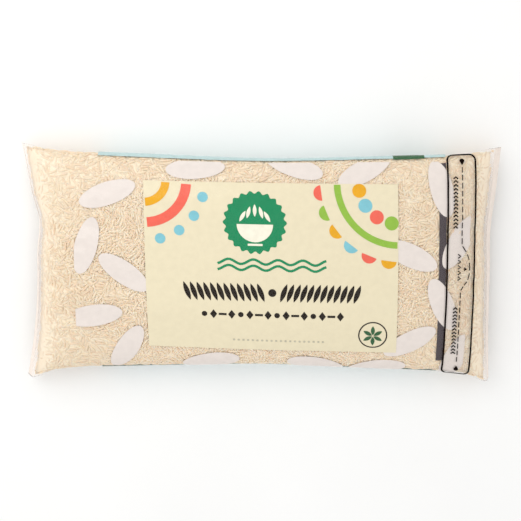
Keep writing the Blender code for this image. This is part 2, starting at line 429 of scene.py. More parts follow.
def body(along, arcs):
    """Film between the seals, as a grid of points with one ring for each place along the bag."""
    y, z = sections(fullness(along), arcs)
    rows, columns = along[:, None], arcs[None, :]
    across = np.roll(y, -1, axis=1) - np.roll(y, 1, axis=1)
    up = np.roll(z, -1, axis=1) - np.roll(z, 1, axis=1)
    size = np.hypot(across, up)
    reach = distance_in(rows) / PUCKER_REACH
    # Puckers fade out towards the long edges, where the film is drawn tight
    pucker = PUCKER_HEIGHT * reach * np.exp(1 - reach) * np.cos(2 * math.pi * columns / GIRTH) ** 2
    rise = pucker * waves(PUCKER_WAVES, rows, columns)
    rise = rise + UNEVEN_HEIGHT * fullness(rows) * waves(UNEVEN_WAVES, rows, columns)
    rise = rise + fullness(rows) * dimples(rows, columns)
    rise = rise * np.clip(z / FLAT_BLEND, 0, 1)
    y, z = y - rise * up / size, z + rise * across / size
    left, right = end_edges(0, y)[1], end_edges(1, y)[1]
    return np.stack([left + (right - left) * rows, y + BODY_SHIFT * shoulder(rows) ** 2, z], axis=2)


def seal(end, shares, arcs):
    """Ribbed film of one seal, one ring of points for each share of the way out to its edge."""
    side = (-1, 1)[end]
    y, z = sections(np.zeros(1), arcs)
    y, lift = y[0], z[0] - SEAL_LEVEL
    outer, inner, droop = end_edges(end, y)
    slope = np.arctan2(droop, np.abs(outer - inner))
    ribbed = RIB_HEIGHT * np.minimum(1, np.abs(lift) / RIB_FADE)
    rows = []
    for share in shares:
        raised = (lift + ribbed * math.sin(2 * math.pi * RIB_COUNT * share)) * (1 - EDGE_THINNING * share)
        x = inner + (outer - inner) * share + side * raised * np.sin(slope)
        rows.append(np.stack([x, y, SEAL_LEVEL - droop * share + raised * np.cos(slope)], axis=1))
    return np.stack(rows)


def film_normals(points):
    """Outward normals of a grid of film points whose columns close into rings."""
    along = np.gradient(points, axis=0)
    across = np.roll(points, -1, axis=1) - np.roll(points, 1, axis=1)
    normals = np.cross(along, across)
    return normals / np.linalg.norm(normals, axis=2, keepdims=True)


def sample(grid, along, arcs):
    """Values of a grid over the film, read between its rows and columns."""
    row = along * (len(grid) - 1)
    column = (arcs / GIRTH + 0.5) * grid.shape[1]
    i = np.clip(row.astype(int), 0, len(grid) - 2)
    left = np.floor(column).astype(int)
    down, over = (row - i)[:, None], (column - left)[:, None]
    j, k = left % grid.shape[1], (left + 1) % grid.shape[1]
    near = grid[i, j] * (1 - over) + grid[i, k] * over
    far = grid[i + 1, j] * (1 - over) + grid[i + 1, k] * over
    return near * (1 - down) + far * down


def seek(keys, values, arcs):
    """Places along the bag where a grid that grows along it takes the given values."""
    low, high = np.zeros(len(values)), np.ones(len(values))
    for _ in range(BISECTIONS):
        along = (low + high) / 2
        beyond = sample(keys, along, arcs)[:, 0] > values
        high = np.where(beyond, along, high)
        low = np.where(beyond, low, along)
    return along


def film_run(points):
    """Length of film from the -X seal to each point of the grid."""
    spans = np.linalg.norm(np.diff(points, axis=0), axis=2)
    return np.concatenate([np.zeros((1, points.shape[1])), np.cumsum(spans, axis=0)])


def mesh_of(name, points, faces):
    """Mesh from an array of points and an array of faces with the same number of corners."""
    mesh = bpy.data.meshes.new(name)
    corners = faces.shape[1]
    mesh.vertices.add(len(points))
    mesh.vertices.foreach_set("co", np.ascontiguousarray(points, np.float32).ravel())
    mesh.loops.add(faces.size)
    mesh.loops.foreach_set("vertex_index", np.ascontiguousarray(faces, np.int32).ravel())
    mesh.polygons.add(len(faces))
    mesh.polygons.foreach_set("loop_start", np.arange(0, faces.size, corners, dtype=np.int32))
    mesh.update(calc_edges=True)
    mesh.validate()
    return mesh


def new_object(name, data):
    """A new object in the scene, made of the given data."""
    made = bpy.data.objects.new(name, data)
    bpy.context.scene.collection.objects.link(made)
    return made


def add_piece(name, mesh, material, sharp=None):
    """Add a mesh to the scene as a piece that rides on the bag."""
    mesh.materials.append(material)
    mesh.shade_smooth()
    if sharp is not None:
        mesh.set_sharp_from_angle(angle=math.radians(sharp))
    piece = new_object(name, mesh)
    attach(piece, "root")
    return piece


def closed_rings(name, rings):
    """Closed mesh over rings of points, its end rings zipped shut from edge to edge."""
    count, ring = rings.shape[:2]
    index = np.arange(count * ring).reshape(count, ring)
    here, there = index[:-1], index[1:]
    sides = [here, np.roll(here, -1, axis=1), np.roll(there, -1, axis=1), there]
    quads = np.stack([side.ravel() for side in sides], axis=1)
    triangles = [quads[:, [0, 2, 1]], quads[:, [0, 3, 2]]]
    for row, flipped in ((index[0], True), (index[-1], False)):
        front = row[ring // 4 : 3 * ring // 4 + 1]
        back = np.concatenate([row[ring // 4 :: -1], row[: 3 * ring // 4 - 1 : -1]])
        strips = [
            np.stack([front[:-1], front[1:], back[1:]], axis=1)[:-1],
            np.stack([front[:-1], back[1:], back[:-1]], axis=1)[1:],
        ]
        cap = np.concatenate(strips)
        triangles.append(cap[:, ::-1] if flipped else cap)
    return mesh_of(name, rings.reshape(-1, 3), np.concatenate(triangles))


def point_values(mesh, name, values):
    """Give each point of a mesh a value that its material reads."""
    carried = mesh.attributes.new(name, "FLOAT", "POINT")
    carried.data.foreach_set("value", values.astype(np.float32))


def linear(colour):
    """Scene colour of an sRGB one given from 0 to 255, with an alpha of 1."""
    share = np.array(colour) / 255
    return (*np.where(share < 0.04045, share / 12.92, ((share + 0.055) / 1.055) ** 2.4), 1.0)


def node_material(name):
    """An empty node material, and a function that adds nodes to it and links their inputs."""
    made = bpy.data.materials.new(name)
    made.use_nodes = True
    tree = made.node_tree
    tree.nodes.clear()

    def add(kind, settings=(), **inputs):
        node = tree.nodes.new(kind)
        for key, value in dict(settings).items():
            setattr(node, key, value)
        for key, value in inputs.items():
            socket = node.inputs[int(key[1:]) if key[1:].isdigit() else key.replace("_", " ")]
            if isinstance(value, bpy.types.NodeSocket):
                tree.links.new(value, socket)
            else:
                socket.default_value = value
        return node

    return made, add


def colour_noise(add, dark, light, scale, detail=3.0):
    """Colour output that wanders between two colours in a fine procedural mottle."""
    where = add("ShaderNodeTexCoord").outputs["Object"]
    noise = add("ShaderNodeTexNoise", Vector=where, Scale=scale, Detail=detail)
    ramp = add("ShaderNodeValToRGB", Fac=noise.outputs["Fac"])
    for stop, place, colour in zip(ramp.color_ramp.elements, MOTTLE_STOPS, (dark, light)):
        stop.position = place
        stop.color = linear(colour)
    return ramp.outputs["Color"]


def surfaced(add, colour, roughness, specular=None, alpha=1.0):
    """Give a material a surface of a colour output, and return the surface's node."""
    surface = add("ShaderNodeBsdfPrincipled", Base_Color=colour, Roughness=roughness, Alpha=alpha)
    if specular is not None:
        surface.inputs["Specular IOR Level"].default_value = specular
    add("ShaderNodeOutputMaterial", Surface=surface.outputs["BSDF"])
    return surface


def mottled(name, tones, scale, roughness, specular=None, alpha=1.0, detail=3.0):
    """A material whose surface wanders between two tones."""
    made, add = node_material(name)
    surfaced(add, colour_noise(add, *tones, scale, detail), roughness, specular, alpha)
    return made


def ink(name, colour, alpha=1.0, mottle=INK_MOTTLE):
    """Printing ink seen through film: one colour with a faint mottle, and maybe see-through."""
    tones = [np.minimum(255, np.array(colour) * factor) for factor in (1 - mottle, 1 + mottle)]
    return mottled(name, tones, INK_MOTTLE_SCALE, INK_ROUGHNESS, 0.0, alpha)


def clear_film(name, haze, roughness):
    """Clear plastic film with a mirror sheen and a whitening haze, None where its points say how much."""
    made, add = node_material(name)
    where = add("ShaderNodeTexCoord").outputs["Object"]
    noise = add("ShaderNodeTexNoise", Vector=where, Scale=HAZE_SCALE, Detail=4.0).outputs["Fac"]
    uneven = add("ShaderNodeMapRange", Value=noise, From_Min=NOISE_RANGE[0], From_Max=NOISE_RANGE[1])
    uneven.inputs["To Min"].default_value, uneven.inputs["To Max"].default_value = HAZE_SPREAD
    if haze is None:
        haze = add("ShaderNodeAttribute", {"attribute_name": "frost"}).outputs["Fac"]
    product = {"operation": "MULTIPLY", "use_clamp": True}
    amount = add("ShaderNodeMath", product, _0=uneven.outputs["Result"], _1=haze).outputs[0]
    fresnel = add("ShaderNodeFresnel", IOR=FILM_IOR).outputs["Fac"]
    inside = add("ShaderNodeNewGeometry").outputs["Backfacing"]
    outside = add("ShaderNodeMath", {"operation": "SUBTRACT"}, _0=1.0, _1=inside).outputs[0]
    sheen = add("ShaderNodeMath", {"operation": "MULTIPLY"}, _0=fresnel, _1=outside).outputs[0]
    mirror = add("ShaderNodeBsdfGlossy", Color=(1, 1, 1, 1), Roughness=roughness).outputs["BSDF"]
    veil = add("ShaderNodeBsdfDiffuse", Color=linear(FROST)).outputs["BSDF"]
    clear = add("ShaderNodeBsdfTransparent").outputs["BSDF"]
    bright = add("ShaderNodeMixShader", Fac=sheen, _1=clear, _2=mirror).outputs["Shader"]
    surface = add("ShaderNodeMixShader", Fac=amount, _1=bright, _2=veil)
    add("ShaderNodeOutputMaterial", Surface=surface.outputs["Shader"])
    return made


def rice_material(name):
    """Milled rice, its colour by the tone that each grain carries, with a fine mottle."""
    made, add = node_material(name)
    tone = add("ShaderNodeAttribute", {"attribute_name": "tone"}).outputs["Fac"]
    ramp = add("ShaderNodeValToRGB", Fac=tone)
    stops = ramp.color_ramp.elements
    stops[0].color, stops[1].color = linear(RICE_TONES[0]), linear(RICE_TONES[-1])
    for i, colour in enumerate(RICE_TONES[1:-1], 1):
        stops.new(i / (len(RICE_TONES) - 1)).color = linear(colour)
    mottle = colour_noise(add, *RICE_MOTTLE, RICE_MOTTLE_SCALE)
    product = {"data_type": "RGBA", "blend_type": "MULTIPLY"}
    colour = add("ShaderNodeMix", product, _0=1.0, _6=ramp.outputs["Color"], _7=mottle).outputs[2]
    surface = surfaced(add, colour, RICE_ROUGHNESS, RICE_SPECULAR)
    for socket, value in RICE_GLOW.items():
        surface.inputs["Subsurface " + socket].default_value = value
    return made


def around(x, arc, radius, bearing):
    """The place at a radius and a bearing in degrees from another."""
    turn = math.radians(bearing)
    return x + radius * math.cos(turn), arc + radius * math.sin(turn)


def turned(points, x, arc, turn=0):
    """Points about the origin, turned by some degrees and moved to a place."""
    c, s = math.cos(math.radians(turn)), math.sin(math.radians(turn))
    return [(x + c * a - s * b, arc + s * a + c * b) for a, b in points]


def ellipse(x, arc, length, width, turn=0, points=32):
    """Outline of an ellipse."""
    turns = [2 * math.pi * i / points for i in range(points)]
    return turned([(length / 2 * math.cos(t), width / 2 * math.sin(t)) for t in turns], x, arc, turn)


def lens(x, arc, length, width, turn=0, points=9):
    """Outline of a grain drawn flat, pointed at both ends."""
    shares = [i / points for i in range(points)]
    upper = [(length * (t - 0.5), width * 2 * t * (1 - t)) for t in shares]
    lower = [(-a, -b) for a, b in upper]
    return turned(upper + lower, x, arc, turn)


def dot(x, arc, size, points=20):
    """Outline of a round dot."""
    return ellipse(x, arc, size, size, 0, points)


def sector(x, arc, inner, outer, start, end, points=12):
    """Quads of a piece of a ring, from one bearing to another."""
    quads = []
    for i in range(points):
        here, there = (start + (end - start) * j / points for j in (i, i + 1))
        corners = ((inner, here), (outer, here), (outer, there), (inner, there))
        quads.append([around(x, arc, radius, bearing) for radius, bearing in corners])
    return quads


def stroke(path, width):
    """Quads of a line of some width along a path of points."""
    sides = []
    for i, (a, b) in enumerate(path):
        before, after = path[max(i - 1, 0)], path[min(i + 1, len(path) - 1)]
        da, db = after[0] - before[0], after[1] - before[1]
        reach = width / 2 / math.hypot(da, db)
        sides.append(((a - db * reach, b + da * reach), (a + db * reach, b - da * reach)))
    return [[here[0], here[1], there[1], there[0]] for here, there in zip(sides, sides[1:])]


def box_outline(x0, x1, arc0, arc1):
    """Outline of an upright rectangle."""
    return [(x0, arc0), (x1, arc0), (x1, arc1), (x0, arc1)]


def rounded_box(x, arc, length, height, radius, points=5):
    """Outline of a rectangle with round corners, about a place."""
    outline = []
    for corner in range(4):
        centre_x = x + (length / 2 - radius) * (1, -1, -1, 1)[corner]
        centre_arc = arc + (height / 2 - radius) * (1, 1, -1, -1)[corner]
        for point in range(points + 1):
            outline.append(around(centre_x, centre_arc, radius, 90 * (corner + point / points)))
    return outline


def clipped(outline, axis, limit, keep):
    """The part of an outline on one side of a line across an axis; keep is 1 above it, -1 below."""
    kept = []
    for here, there in zip(outline, outline[1:] + outline[:1]):
        inside, next_inside = keep * (here[axis] - limit) >= 0, keep * (there[axis] - limit) >= 0
        if inside:
            kept.append(here)
        if inside != next_inside:
            share = (limit - here[axis]) / (there[axis] - here[axis])
            kept.append(tuple(h + (t - h) * share for h, t in zip(here, there)))
    return kept


def on_panel(outline):
    """An outline from the front panel's own millimetres to places on the film."""
    placed = []
    for a, b in outline:
        u, v = (a / PANEL_HALF_LENGTH + 1) / 2, (b / PANEL_HALF_HEIGHT + 1) / 2
        shares = ((1 - u) * (1 - v), u * (1 - v), (1 - u) * v, u * v)
        placed.append(tuple(sum(s * corner[i] for s, corner in zip(shares, PANEL_CORNERS)) for i in (0, 1)))
    return placed


def on_label(outline):
    """An outline from the reseal label's own millimetres to places on the film."""
    return [(LABEL_CENTRE_X / MM + a + LABEL_LEAN * b, b) for a, b in outline]


def patch(corners, bow=0.0):
    """Flat points and triangles of a four-cornered field; bow lowers the middle of its first edge."""
    spans = [math.dist(corners[a], corners[b]) for a, b in ((0, 1), (0, 2))]
    columns, rows = (math.ceil(span / PRINT_CELL) + 1 for span in spans)
    u, v = np.meshgrid(np.linspace(0, 1, columns), np.linspace(0, 1, rows))
    u, v = u.ravel()[:, None], v.ravel()[:, None]
    low_left, low_right, high_left, high_right = (np.array(corner) for corner in corners)
    flat = (low_left * (1 - u) + low_right * u) * (1 - v) + (high_left * (1 - u) + high_right * u) * v
    flat[:, 1] -= (bow * 4 * u * (1 - u) * (1 - v))[:, 0]
    index = np.arange(rows * columns).reshape(rows, columns)
    here, there = index[:-1, :-1].ravel(), index[:-1, 1:].ravel()
    above, beyond = index[1:, :-1].ravel(), index[1:, 1:].ravel()
    faces = np.concatenate([np.stack([here, there, beyond], 1), np.stack([here, beyond, above], 1)])
    return flat, faces


def cut_up(polygons):
    """Flat outlines cut along a grid into small triangles, as points and faces."""
    flat = bmesh.new()
    for polygon in polygons:
        flat.faces.new([flat.verts.new((x, arc, 0)) for x, arc in polygon])
    bmesh.ops.remove_doubles(flat, verts=flat.verts[:], dist=MERGE_REACH)
    spots = np.array([vert.co[:2] for vert in flat.verts])
    for axis, normal in ((0, (1, 0, 0)), (1, (0, 1, 0))):
        first = math.floor(spots[:, axis].min() / PRINT_CELL) + 1
        last = math.ceil(spots[:, axis].max() / PRINT_CELL)
        for i in range(first, last):
            point = [i * PRINT_CELL * n for n in normal]
            everything = flat.verts[:] + flat.edges[:] + flat.faces[:]
            bmesh.ops.bisect_plane(flat, geom=everything, plane_co=point, plane_no=normal, dist=CUT_REACH)
    bmesh.ops.triangulate(flat, faces=flat.faces[:])
    for face in flat.faces:
        if face.normal.z < 0:
            face.normal_flip()
    flat.verts.index_update()
    points = np.array([vert.co[:2] for vert in flat.verts])
    faces = np.array([[vert.index for vert in face.verts] for face in flat.faces])
    flat.free()
    return points, faces


def laid(name, flat, faces, depth, thickness, material, slot="film_over_rice"):
    """A closed thin sheet of flat triangles at a depth under the film, or over it where that is below 0."""
    spots = flat * MM
    along = seek(FILM[..., :1], spots[:, 0], spots[:, 1])
    points, normals = sample(FILM, along, spots[:, 1]), sample(NORMALS, along, spots[:, 1])
    top, bottom = points - depth * normals, points - (depth + thickness) * normals
    edges = np.concatenate([faces[:, [0, 1]], faces[:, [1, 2]], faces[:, [2, 0]]])
    count = len(flat)
    rim = edges[~np.isin(edges[:, 0] * count + edges[:, 1], edges[:, 1] * count + edges[:, 0])]
    walls = [
        np.stack([rim[:, 1], rim[:, 0], rim[:, 0] + count], axis=1),
        np.stack([rim[:, 1], rim[:, 0] + count, rim[:, 1] + count], axis=1),
    ]
    every = np.concatenate([faces, faces[:, ::-1] + count, *walls])
    mesh = mesh_of(name, np.concatenate([top, bottom]), every)
    return add_piece(name, mesh, material, sharp=SHEET_SHARP)


def printed(name, polygons, depth, material, slot="film_over_rice"):
    """Outlines printed as closed thin sheets, joined in one piece."""
    return laid(name, *cut_up(polygons), depth, INK, material, slot)


def field(name, corners, depth, material, bow=0.0):
    """A four-cornered field printed at a depth under the film."""
    return laid(name, *patch(corners, bow), depth, INK, material)


def on_front(name, polygons, depth, material):
    """Outlines given on the front panel, printed at a depth under the film."""
    return printed(name, [on_panel(polygon) for polygon in polygons], depth, material)


def grains_mesh(name, starts, ends, ups, widths, heights, bends, tones):
    """All grains of a layer as one mesh, each a closed tapered form from its start to its end."""
    axis = ends - starts
    length = np.linalg.norm(axis, axis=1, keepdims=True)
    axis /= length
    side = np.cross(ups, axis)
    side /= np.linalg.norm(side, axis=1, keepdims=True)
    up = np.cross(axis, side)
    turns = 2 * math.pi * np.arange(GRAIN_SIDES) / GRAIN_SIDES
    middle = (starts + ends) / 2
    rings = []
    for station, radius in zip(GRAIN_STATIONS, GRAIN_RADII):
        bow = bends[:, None] * (0.25 - station**2) * length
        centre = middle + axis * length * station + side * bow
        for turn in turns:
            out = side * (widths / 2 * radius * math.cos(turn))[:, None]
            rings.append(centre + out + up * (heights / 2 * radius * math.sin(turn))[:, None])
    points = np.stack([*rings, starts, ends], axis=1)
    faces = []
    last = (len(GRAIN_STATIONS) - 1) * GRAIN_SIDES
    for i in range(0, last, GRAIN_SIDES):
        for j in range(GRAIN_SIDES):
            a, b = i + j, i + (j + 1) % GRAIN_SIDES
            c, d = b + GRAIN_SIDES, a + GRAIN_SIDES
            faces += [(a, b, c), (a, c, d)]
    first_tip, last_tip = len(rings), len(rings) + 1
    for j in range(GRAIN_SIDES):
        k = (j + 1) % GRAIN_SIDES
        faces += [(k, j, first_tip), (last + j, last + k, last_tip)]
    count, each = len(starts), points.shape[1]
    every = np.array(faces)[None] + each * np.arange(count)[:, None, None]
    mesh = mesh_of(name, points.reshape(-1, 3), every.reshape(-1, 3))
    point_values(mesh, "tone", np.repeat(tones, each))
    return mesh


def room_at(depth):
    """How far points at a depth under the film are from any film, below 0 where they fall outside."""
    rings, normals = FILM[::2, ::2], NORMALS[::2, ::2]
    room = []
    for ring, facing in zip(rings, normals):
        gaps = (ring - depth * facing)[:, None] - ring[None]
        distance = np.linalg.norm(gaps, axis=2)
        nearest = distance.argmin(axis=1)
        pick = np.arange(len(ring))
        inward = -(gaps[pick, nearest] * facing[nearest]).sum(axis=1)
        room.append(np.sign(inward) * distance[pick, nearest])
    return np.stack(room)[..., None]


def reach_table():
    """How deep under the film a grain's middle line may lie, 0 where the bag is too thin for one."""
    reach = np.zeros((TABLE_STEPS // 2 + 1, TABLE_RING // 2, 1))
    for depth in np.linspace(LEAST_DEPTH, GRAIN_LAYERS[-1][0], REACH_STEPS):
        reach = np.where(room_at(depth) > ROOM_SHARE * depth, depth, reach)
    return reach


def within(values, low, high):
    """True where values lie well inside two limits given in millimetres."""
    return (values > low * MM + PRINT_MARGIN) & (values < high * MM - PRINT_MARGIN)


def under_print(x, arc):
    """True where an opaque field hides the grains, well inside its edges."""
    (x0, arc0), (x1, arc1), (x2, arc2), (x3, arc3) = PANEL_CORNERS
    front = within(x, max(x0, x2), min(x1, x3)) & within(arc, max(arc0, arc1), min(arc2, arc3))
    return front | within(x, *BACK_X) & within(arc % GIRTH, *BACK_ARCS)


def drawn(rng, layer, lengths_between):
    """A batch of grains tried at random places, as places, lengths and the cosines and sines of turns."""
    run = rng.uniform(0, RUN_MAX, SCATTER_BATCH)
    arc = rng.uniform(-GIRTH / 2, GIRTH / 2, SCATTER_BATCH)
    size = rng.uniform(*lengths_between, SCATTER_BATCH)
    phases = (layer, *SWIRL_PHASES)
    swirl = sum(np.sin(run / a + arc / b + phase) for (a, b), phase in zip(SWIRLS, phases))
    turn = SWIRL_TURN * swirl + rng.normal(0, GRAIN_STRAY, SCATTER_BATCH)
    return run, arc, size, np.cos(turn), np.sin(turn)


def depth_found(run, arc, half_run, half_arc, depth):
    """How deep the film lets each grain lie along all its length, at most the given depth."""
    deep = np.full(len(run), depth)
    for share in PROBES:
        spot, place = np.clip(run + share * half_run, 0, RUN_MAX), arc + share * half_arc
        along = sample(ALONG, spot / RUN_MAX, place)[:, 0]
        deep = np.minimum(deep, sample(REACH, along, place)[:, 0])
    return deep


def scattered(layer, depth):
    """One layer of grains that lie under the film without overlap, as places, half spans and depths."""
    rng = np.random.default_rng(SCATTER_SEED + layer)
    cells = (int(RUN[-1].max() / SCATTER_CELL) + 2, round(GIRTH / SCATTER_CELL))
    taken = np.zeros(cells, bool)
    lengthwise, crosswise = np.meshgrid(np.linspace(*TEST_LENGTHS), np.linspace(*TEST_WIDTHS))
    inside = (lengthwise / 0.5) ** 2 + (crosswise / 0.5) ** 2 < 1
    lengthwise, crosswise = lengthwise[inside], crosswise[inside] * GRAIN_WIDTH
    found = []
    for turn_of in range(SCATTER_ROUNDS):
        lengths_between = GRAIN_LENGTH if turn_of < WHOLE_ROUNDS else BROKEN_LENGTH
        run, arc, size, cos, sin = drawn(rng, layer, lengths_between)
        half_run, half_arc = size / 2 * cos, size / 2 * sin
        run_end = np.interp(arc, ring_arcs(TABLE_RING), RUN[-1], period=GIRTH)
        good = (run - np.abs(half_run) > END_ROOM) & (run + np.abs(half_run) < run_end - END_ROOM)
        deep = depth_found(run, arc, half_run, half_arc, depth)
        # Where the bag is thin, one layer of grains lies in it, under the front alone
        thin = deep < THIN_SHARE * depth
        good &= ~thin | ((layer == 0) & (np.abs(arc) < GIRTH / 4) & (deep > LEAST_DEPTH))
        along = sample(ALONG, run / RUN_MAX, arc)[:, 0]
        good &= ~under_print(sample(FILM, along, arc)[:, 0], arc)
        long, cos, sin = size[:, None] * lengthwise, cos[:, None], sin[:, None]
        over_run, over_arc = cos * long - sin * crosswise, sin * long + cos * crosswise
        i = ((run[:, None] + over_run) / SCATTER_CELL).astype(int).clip(0, cells[0] - 1)
        j = np.floor((arc[:, None] + over_arc + GIRTH / 2) / SCATTER_CELL).astype(int) % cells[1]
        good &= ~taken[i, j].any(axis=1)
        for k in np.flatnonzero(good):
            if not taken[i[k], j[k]].any():
                taken[i[k], j[k]] = True
                found.append((run[k], arc[k], half_run[k], half_arc[k], deep[k]))
    return np.array(found), rng


def rice_layer(name, layer, depth, material, tone_range_with_painted_lift):
    """One layer of rice grains as a piece."""
    found, rng = scattered(layer, depth)
    run, arc, half_run, half_arc, deep = found.T
    count = len(found)
    ends, normals = [], []
    for sign in (-1, 1):
        place = arc + sign * half_arc
        along = sample(ALONG, (run + sign * half_run) / RUN_MAX, place)[:, 0]
        facing = sample(NORMALS, along, place)
        sunk = (deep + rng.normal(0, GRAIN_TILT, count))[:, None]
        ends.append(sample(FILM, along, place) - sunk * facing)
        normals.append(facing)
    widths = GRAIN_WIDTH * rng.uniform(*WIDTH_SPREAD, count)
    heights = np.minimum(GRAIN_HEIGHT * rng.uniform(*HEIGHT_SPREAD, count), HEIGHT_ROOM * deep)
    bends = rng.normal(0, GRAIN_BEND, count)
    # Deeper layers draw lighter tones: painted light against the shade that falls in the gaps between
    # grains
    tones = rng.uniform(*tone_range_with_painted_lift, count)
    mesh = grains_mesh(name, *ends, sum(normals), widths, heights, bends, tones)
    return add_piece(name, mesh, material)


def scalloped(x, arc, radius, lobes, depth):
    """Outline of a disc with a wavy edge."""
    outline = []
    for i in range(lobes * SCALLOP_POINTS):
        turn = 2 * math.pi * i / (lobes * SCALLOP_POINTS)
        reach = radius + depth * math.cos(lobes * turn)
        outline.append((x + reach * math.cos(turn), arc + reach * math.sin(turn)))
    return outline


def lay_ovals():
    """Large plain ovals round the front panel, cut off at the ends and at the back's field."""
    ovals = []
    for x, arc, turn in OVALS:
        oval = ellipse(x, arc, *OVAL_SIZE, turn)
        for axis, limit, keep in OVAL_LIMITS:
            oval = clipped(oval, axis, limit, keep)
        ovals.append(oval)
    white = ink("Ink_Kernel_White", KERNEL_WHITE, OVAL_ALPHA, OVAL_MOTTLE)
    printed("print_ovals", ovals, OVAL_DEPTH, white)


def lay_roundel():
    """A scalloped disc and two wavy lines, with a bowl of grains on the disc."""
    green = [scalloped(*ROUNDEL, ROUNDEL_RADIUS, SCALLOP_COUNT, SCALLOP_DEPTH)]
    across = np.arange(*WAVE_X)
    wave = WAVE_HEIGHT * np.sin(across * 2 * math.pi / WAVE_PITCH)
    for level in WAVE_LEVELS:
        green += stroke(list(zip(across, level + wave)), WAVE_STROKE)
    on_front("print_green", green, ORNAMENT_DEPTH, ink("Ink_Green", GREEN))
    a, b = ROUNDEL
    pale = [[around(a, b - BOWL_DROP, BOWL_RADIUS, bearing) for bearing in range(180, 361, 10)]]
    pale.append(turned(box_outline(*BOWL_FOOT), a, b))
    pale += [lens(a + x, b + arc, *BOWL_GRAIN, turn) for x, arc, turn in BOWL_GRAINS]
    on_front("print_bowl", pale, TOP_DEPTH, ink("Ink_Pale_Cream", PALE_CREAM))


def lay_rows():
    """A row of slanted grains, a row of dots, diamonds and dashes, and the emblem's ring."""
    rows = [dot(0, FRIEZE_LEVEL, FRIEZE_DOT)]
    near, far = FRIEZE_X
    for i in range(FRIEZE_COUNT):
        side = (-1, 1)[i % 2]
        place = near + (i // 2) * (far - near) / (FRIEZE_COUNT // 2 - 1)
        rows.append(lens(side * place, FRIEZE_LEVEL, *FRIEZE_GRAIN, 90 - FRIEZE_LEAN * side))
    (dash, thick), (wide, tall) = SMALL_DASH, SMALL_DIAMOND
    diamond = [(-wide, 0), (0, -tall), (wide, 0), (0, tall)]
    shapes = (dot(0, 0, SMALL_DOT, 14), diamond, box_outline(-dash, dash, -thick, thick), diamond)
    for i in range(SMALL_COUNT):
        place = -SMALL_LENGTH / 2 + (i + 0.5) * SMALL_LENGTH / SMALL_COUNT
        rows.append(turned(shapes[i % 4], place, SMALL_LEVEL))
    rows += sector(*EMBLEM, *EMBLEM_RING, 0, 360, 36)
    on_front("print_brown", rows, ORNAMENT_DEPTH, ink("Ink_Brown", BROWN))


def lay_emblem():
    """The sprig in the emblem's ring, and the dotted rule."""
    a, b = EMBLEM
    leaves = range(30, 331, 60)
    sprig = [lens(*around(a, b - SPRIG_DROP, SPRIG_RADIUS, turn), *SPRIG_LEAF, turn) for turn in leaves]
    on_front("print_emblem", sprig, ORNAMENT_DEPTH, ink("Ink_Deep_Green", DARK_GREEN))
    rule = [dot(x, RULE_LEVEL, RULE_DOT, 10) for x in np.arange(*RULE_X)]
    on_front("print_pale_rule", rule, ORNAMENT_DEPTH, ink("Ink_Pale_Grey", PALE_GREY))


def lay_corners():
    """Arcs and dots in one upper corner of the panel; an arc, discs and half discs in the other."""
    left, right = (-PANEL_HALF_LENGTH, PANEL_HALF_HEIGHT), (PANEL_HALF_LENGTH, PANEL_HALF_HEIGHT)
    shapes = {
        "coral": sector(*left, *CORAL_ARC, *LEFT_BEARINGS),
        "orange": sector(*left, *ORANGE_ARC, *LEFT_BEARINGS),
        "sky": [dot(*around(*left, SKY_RADIUS, bearing), SKY_DOT) for bearing in SKY_BEARINGS],
        "leaf": sector(*right, *LEAF_ARC, 20),
    }
    for colour, bearing in zip(DISC_ORDER, np.linspace(*DISC_BEARINGS, len(DISC_ORDER))):
        shapes[colour].append(dot(*around(*right, DISC_RADIUS, bearing), DISC_SIZE, 24))
    half = clipped(dot(0, 0, HALF_SIZE, 28), 0, 0, -1)
    for colour, bearing in zip(HALF_ORDER, np.linspace(*HALF_BEARINGS, len(HALF_ORDER))):
        shapes[colour].append(turned(half, *around(*right, HALF_RADIUS, bearing), bearing + 180))
    for name, colour in (("coral", CORAL), ("orange", ORANGE), ("sky", SKY), ("leaf", LEAF)):
        on_front("print_" + name, shapes[name], ORNAMENT_DEPTH, ink("Ink_" + name.capitalize(), colour))


def lay_front():
    """Fields and generic ornaments on the front, the fields from the deepest to the topmost."""
    field("print_stripe", STRIPE_CORNERS, STRIPE_DEPTH, ink("Ink_Stripe_Grey", STRIPE_GREY, STRIPE_ALPHA))
    lay_ovals()
    field("print_front_panel", PANEL_CORNERS, PANEL_DEPTH, ink("Ink_Cream", CREAM, mottle=PANEL_MOTTLE))
    lay_roundel()
    lay_rows()
    lay_emblem()
    lay_corners()


def lay_back():
    """The field printed on the back, which wraps on to the long edges, with plain shapes on it."""
    (x0, x1), (arc0, arc1) = BACK_X, BACK_ARCS
    corners = ((x0, arc0), (x1, arc0 + BACK_LEAN), (x0, arc1), (x1, arc1))
    field("print_back_field", corners, PANEL_DEPTH, ink("Ink_Cyan", CYAN), BACK_BOW)
    field("print_back_block", BLOCK_CORNERS, ORNAMENT_DEPTH, ink("Ink_Block_Green", DARK_GREEN))
    white = [rounded_box(*box) for box in BACK_BOXES]
    printed("print_back_white", white, ORNAMENT_DEPTH, ink("Ink_White", WHITE))
    rules = []
    for count, start, end, step, ragged, first, pitch, half in BACK_RULES:
        for i in range(count):
            level = first + i * pitch
            rules.append(box_outline(start, end - (i * step) % ragged, level - half, level + half))
    printed("print_back_rules", rules, TOP_DEPTH, ink("Ink_Rule_Grey", RULE_GREY))
    kernels = [lens(x, BACK_KERNEL_ARC, *BACK_KERNEL, turn) for x, turn in BACK_KERNELS]
    printed("print_back_kernels", kernels, TOP_DEPTH, ink("Ink_Back_Orange", ORANGE))


def tear_dashes():
    """Quads of the dashed line along the label."""
    dashes = []
    for start, end in zip(TEAR_LINE, TEAR_LINE[1:]):
        count = max(1, round(math.dist(start, end) / DASH_PITCH))
        for i in range(count):
            shares = [(i + part) / count for part in DASH_PARTS]
            points = [tuple(s + (e - s) * share for s, e in zip(start, end)) for share in shares]
            dashes += stroke(points, TEAR_STROKE)
    return dashes


